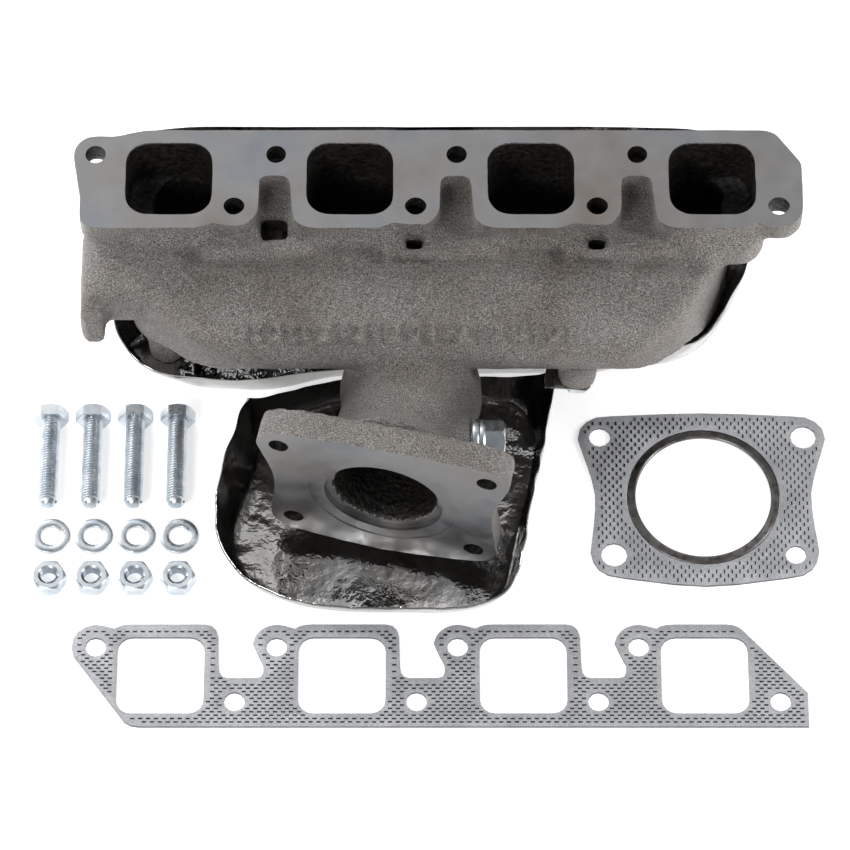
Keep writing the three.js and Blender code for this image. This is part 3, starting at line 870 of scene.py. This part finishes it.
def make_nut(index):
    node = f"outlet_nut_{index}"
    low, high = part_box(node)
    height = high.z - low.z
    blank = hex_blank(BOLT_FLATS, height, True)
    tool = turned_body([(0, -MM), (NUT_MOUTH + MM, -MM), (NUT_BORE, NUT_MOUTH - NUT_BORE),
                        (NUT_BORE, height - NUT_MOUTH + NUT_BORE), (NUT_MOUTH + MM, height + MM),
                        (0, height + MM)], 48)
    blank = intersection(blank, tool, "DIFFERENCE")
    thread = helix(NUT_BORE - 0.35 * MM, NUT_BORE + 0.05 * MM, PITCH, height - PITCH)
    bm = gather((blank, STRAIGHT), (thread, Matrix.Translation((0, 0, 0.75 * MM + PITCH))))
    centre = (low + high) / 2
    bmesh.ops.translate(bm, verts=bm.verts, vec=(centre.x, centre.y, low.z))
    sharpen(bm, CREASE_TURN)
    piece = to_object(bm, f"nut_{index}", [ZINC])
    stand_for(piece, f"loose_nut_{index}", "zinc_plate", node)


for number in range(1, 5):
    make_washer(number)
    make_nut(number)

# %% [markdown]
# The bolts that hold the shields and the plug in the neck are the same kind of forging, a hexagon on a round
# flange. Each is turned to the way its engineering node points.

# %% Shield bolts and the plug
SCREW_FLATS = 13 * MM
SCREW_HEAD = 5.2 * MM
PLUG_FLATS = 19 * MM
PLUG_HEAD = 10.2 * MM
SEAL_HALF = 1.8 * MM


def flanged_hex(flats, head, flange_radius, flange, shank_radius, shank):
    """A hexagon that stands on a round flange at height 0, with its shank below."""
    blank = hex_blank(flats, head, False)
    collar = turned_body([(0, -flange), (flange_radius - 0.3 * MM, -flange), (flange_radius, -flange * 0.7),
                          (flange_radius, -flange * 0.35), (flange_radius - 0.6 * MM, 0.05 * MM),
                          (0, 0.05 * MM)], 56)
    stem = turned_body([(0, -flange + 0.1 * MM), (shank_radius, -flange + 0.1 * MM),
                        (shank_radius, MM - shank), (shank_radius - MM, -shank), (0, -shank)], 32)
    return gather((blank, STRAIGHT), (collar, STRAIGHT), (stem, STRAIGHT))


def make_shield_bolt(index):
    node = f"shield_bolt_{index}"
    low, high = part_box(node)
    centre = (low + high) / 2
    bm = flanged_hex(SCREW_FLATS, SCREW_HEAD, 8.5 * MM, 1.8 * MM, 4 * MM, high.z - low.z - SCREW_HEAD)
    spot = Vector((centre.x, centre.y, low.z + SCREW_HEAD))
    place(bm, spot, math.pi, "X")
    sharpen(bm, CREASE_TURN)
    piece = to_object(bm, f"shield_screw_{index}", [ZINC])
    stand_for(piece, "manifold", "zinc_plate", node)


def make_plug():
    low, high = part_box("neck_plug")
    centre = (low + high) / 2
    bm = flanged_hex(PLUG_FLATS, PLUG_HEAD, 11.4 * MM, 2.6 * MM, 6 * MM, high.x - low.x - PLUG_HEAD)
    spot = Vector((high.x - PLUG_HEAD, centre.y, centre.z))
    place(bm, spot, math.pi / 2, "Y")
    sharpen(bm, CREASE_TURN)
    piece = to_object(bm, "plug", [ZINC])
    stand_for(piece, "manifold", "zinc_plate", "neck_plug")
    low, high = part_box("neck_plug_washer")
    centre = (low + high) / 2
    bm = turned_body(ring_profile(6.3 * MM, 12 * MM, -SEAL_HALF, SEAL_HALF, 0.5 * MM), 64)
    place(bm, centre, math.pi / 2, "Y")
    sharpen(bm, math.radians(60))
    piece = to_object(bm, "plug_seal", [ZINC])
    stand_for(piece, "manifold", "zinc_plate", "neck_plug_washer")


for number in range(1, 6):
    make_shield_bolt(number)
make_plug()

# %% [markdown]
# A gasket of this kind has a steel core pierced with rows of small teeth that are bent over to hold the soft
# facing. Seen from above each tooth is a short slit with a bright lip. The slit is dark with shade, and here
# that shade is painted: a flat near-black wedge, not a hole. The sheet itself is the engineering node with a
# bevelled edge, and each tooth is a tiny roof with a slit beside it, set out on a staggered grid wherever
# there is sheet under it.

# %% Gaskets
GASKET = gasket_sheet()
# The slit colour is painted shade: near black, where the shadow in a slit would be.
SLIT_SHADE = plain_metal("tooth_slit_painted_shade", (0.03, 0.03, 0.032), (0.09, 0.09, 0.095), 0.5)
EDGE = plain_metal("cut_edge", (0.08, 0.08, 0.085), (0.2, 0.2, 0.21), 0.45)
LIP = plain_metal("tooth_lip", (0.45, 0.46, 0.48), (0.66, 0.67, 0.68), 0.35)
TOOTH_LENGTH = 2.3 * MM
TOOTH_WIDTH = 0.95 * MM
TOOTH_MARGIN = 2.4 * MM
TOOTH_STEP = 4.0 * MM
SHEET_BEVEL = 0.35 * MM
RAY_RISE = 0.01


def has_sheet(caster, x, y, top, margin):
    for dx, dy in ((margin, 0), (-margin, 0), (0, margin), (0, -margin)):
        start = Vector((x + dx, y + dy, top + RAY_RISE))
        if caster.ray_cast(start, Vector((0, 0, -1)), RAY_RISE + 0.5 * MM)[0] is None:
            return False
    return True


def add_tooth(bm, x, y, top, upright):
    """A slit and its raised lip, as two thin wedges; the slit wedge is near black, painted shade."""
    turn = Matrix.Rotation(math.pi / 2 if upright else 0, 4, "Z")
    spot = Matrix.Translation((x, y, top))
    # The slit is a flat near-black wedge 0.05 mm high: painted shade, not a hole.
    slit = (0, 0.05 * MM, TOOTH_WIDTH, 0)
    lip = (0.62 * TOOTH_WIDTH, 0.22 * MM, TOOTH_WIDTH * 0.4, 1)
    for shift, high, wide, index in (slit, lip):
        size = Matrix.Diagonal((TOOTH_LENGTH, wide, high * 2, 1))
        matrix = spot @ turn @ Matrix.Translation((0, shift, 0)) @ size
        made = bmesh.ops.create_cube(bm, size=1, matrix=matrix)
        for vert in made["verts"]:
            if vert.co.z > top:
                middle = Vector((x, y, vert.co.z))
                vert.co = middle + (vert.co - middle) * 0.9
        for face in {f for v in made["verts"] for f in v.link_faces}:
            face.material_index = index


def make_teeth(node, body, row_step, upright):
    low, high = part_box(node)
    caster = BVHTree.FromBMesh(merged_copy(node))
    bm = bmesh.new()
    count = 0
    rows = int((high.y - low.y) / row_step) + 1
    columns = int((high.x - low.x) / TOOTH_STEP) + 1
    for row in range(rows):
        for column in range(columns):
            x = low.x + (column + 0.5 * (row % 2)) * TOOTH_STEP
            y = low.y + (row + 0.35) * row_step
            if has_sheet(caster, x, y, high.z, TOOTH_MARGIN):
                add_tooth(bm, x, y, high.z, upright)
                count += 1
    piece = to_object(bm, node + "_teeth", [SLIT_SHADE, LIP], smooth=False)
    stand_for(piece, body, "gasket_sheet")
    print(node, "teeth", count)


def make_gasket_sheet(node, body):
    bm = merged_copy(node)
    bmesh.ops.dissolve_limit(bm, angle_limit=math.radians(1), verts=bm.verts, edges=bm.edges)
    flat = [f for f in bm.faces if abs(f.normal.z) > 0.9]
    rim = [e for f in flat for e in f.edges]
    bmesh.ops.bevel(bm, geom=list(set(rim)), offset=SHEET_BEVEL, offset_type="OFFSET", segments=2,
                    profile=0.5, affect="EDGES", material=-1, clamp_overlap=True)
    for face in bm.faces:
        if abs(face.normal.z) < 0.9:
            face.material_index = 1
    sharpen(bm, math.radians(50))
    piece = to_object(bm, node + "_sheet", [GASKET, EDGE])
    stand_for(piece, body, "gasket_sheet", node)


make_gasket_sheet("port_gasket", "loose_port_gasket")
make_gasket_sheet("outlet_gasket", "loose_outlet_gasket")
make_teeth("port_gasket", "loose_port_gasket", 1.9 * MM, False)
make_teeth("outlet_gasket", "loose_outlet_gasket", 2.5 * MM, True)

# %% [markdown]
# The fire ring is a strip of steel rolled over the inner edge of the outlet gasket. Its section is a
# flattened loop with a bright rounded lip inside, so it is spun from a short outline.

# %% Fire ring
RING = plain_metal("ring_steel", (0.12, 0.115, 0.11), (0.24, 0.23, 0.225), 0.32)


def make_fire_ring():
    low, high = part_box("outlet_gasket_ring")
    centre = (low + high) / 2
    outer = (high.x - low.x) / 2
    inner = outer - 4.5 * MM
    top = high.z
    profile = [(inner, low.z + 0.7 * MM), (inner + 0.5 * MM, low.z + 0.1 * MM), (outer - 0.3 * MM, low.z),
               (outer, low.z + 0.4 * MM), (outer, top - 0.9 * MM), (outer - 0.5 * MM, top - 0.55 * MM),
               (outer - 2.2 * MM, top - 0.5 * MM), (inner + 1.6 * MM, top - 0.15 * MM),
               (inner + 0.9 * MM, top), (inner + 0.35 * MM, top - 0.2 * MM), (inner, top - 0.7 * MM)]
    bm = turned_body(profile, 128)
    bmesh.ops.translate(bm, verts=bm.verts, vec=(centre.x, centre.y, 0))
    sharpen(bm, math.radians(55))
    piece = to_object(bm, "fire_ring", [RING])
    stand_for(piece, "loose_outlet_gasket", "ring_steel", "outlet_gasket_ring")


make_fire_ring()

# %% [markdown]
# The setting is a white surface and four soft lamps. The surface glows a little, so shadows on it stay
# faint, and the sky is dim. The wide key lamp stands behind and to the left, out of the camera's mirror
# direction in the machined face, and the faint sheen lamp stands close to that direction, so the face is
# grey and not black.

# %% Surface and lights
SURFACE_GAP = 0.0002
SURFACE_GLOW = 0.55
SKY = 0.3
# name, place, aim, width and height in metres, and power in watts
LAMPS = [("key", (-1.25, 1.05, 0.8), (0, 0, 0.05), 1.6, 1.6, 28),
         ("front", (-0.7, -1.1, 1.2), (0, 0, 0.05), 0.5, 0.5, 15),
         ("fill", (1.3, -0.2, 0.9), (0, 0, 0.05), 0.3, 0.8, 12),
         ("sheen", (0, 0.95, 1.65), (0, 0.05, 0.1), 1.4, 1.0, 3.6)]


def make_floor():
    bm = bmesh.new()
    bmesh.ops.create_grid(bm, x_segments=1, y_segments=1, size=4)
    floor = to_object(bm, "surface", [])
    floor.location.z = cad_box[0][2] - SURFACE_GAP
    paint = Paint("surface_white", (0.86, 0.86, 0.86), 0.9, 0.0)
    paint.shader.inputs["Emission Color"].default_value = (1, 1, 1, 1)
    paint.shader.inputs["Emission Strength"].default_value = SURFACE_GLOW
    floor.data.materials.append(paint.material)


def make_lamp(name, spot, aim, width, height, power):
    data = bpy.data.lights.new(name, "AREA")
    data.shape = "RECTANGLE"
    data.size = width
    data.size_y = height
    data.energy = power
    lamp = bpy.data.objects.new(name, data)
    lamp.location = spot
    lamp.rotation_euler = (Vector(aim) - Vector(spot)).to_track_quat("-Z", "Y").to_euler()
    bpy.context.collection.objects.link(lamp)


def make_light():
    world = bpy.data.worlds.new("studio")
    world.use_nodes = True
    background = world.node_tree.nodes["Background"]
    background.inputs["Color"].default_value = (1, 1, 1, 1)
    background.inputs["Strength"].default_value = SKY
    bpy.context.scene.world = world
    for lamp in LAMPS:
        make_lamp(*lamp)
    bpy.context.scene.view_settings.view_transform = "Standard"


make_floor()
make_light()

# %% [markdown]
# Last, the script prints a closing line.

# %% End
print("done")
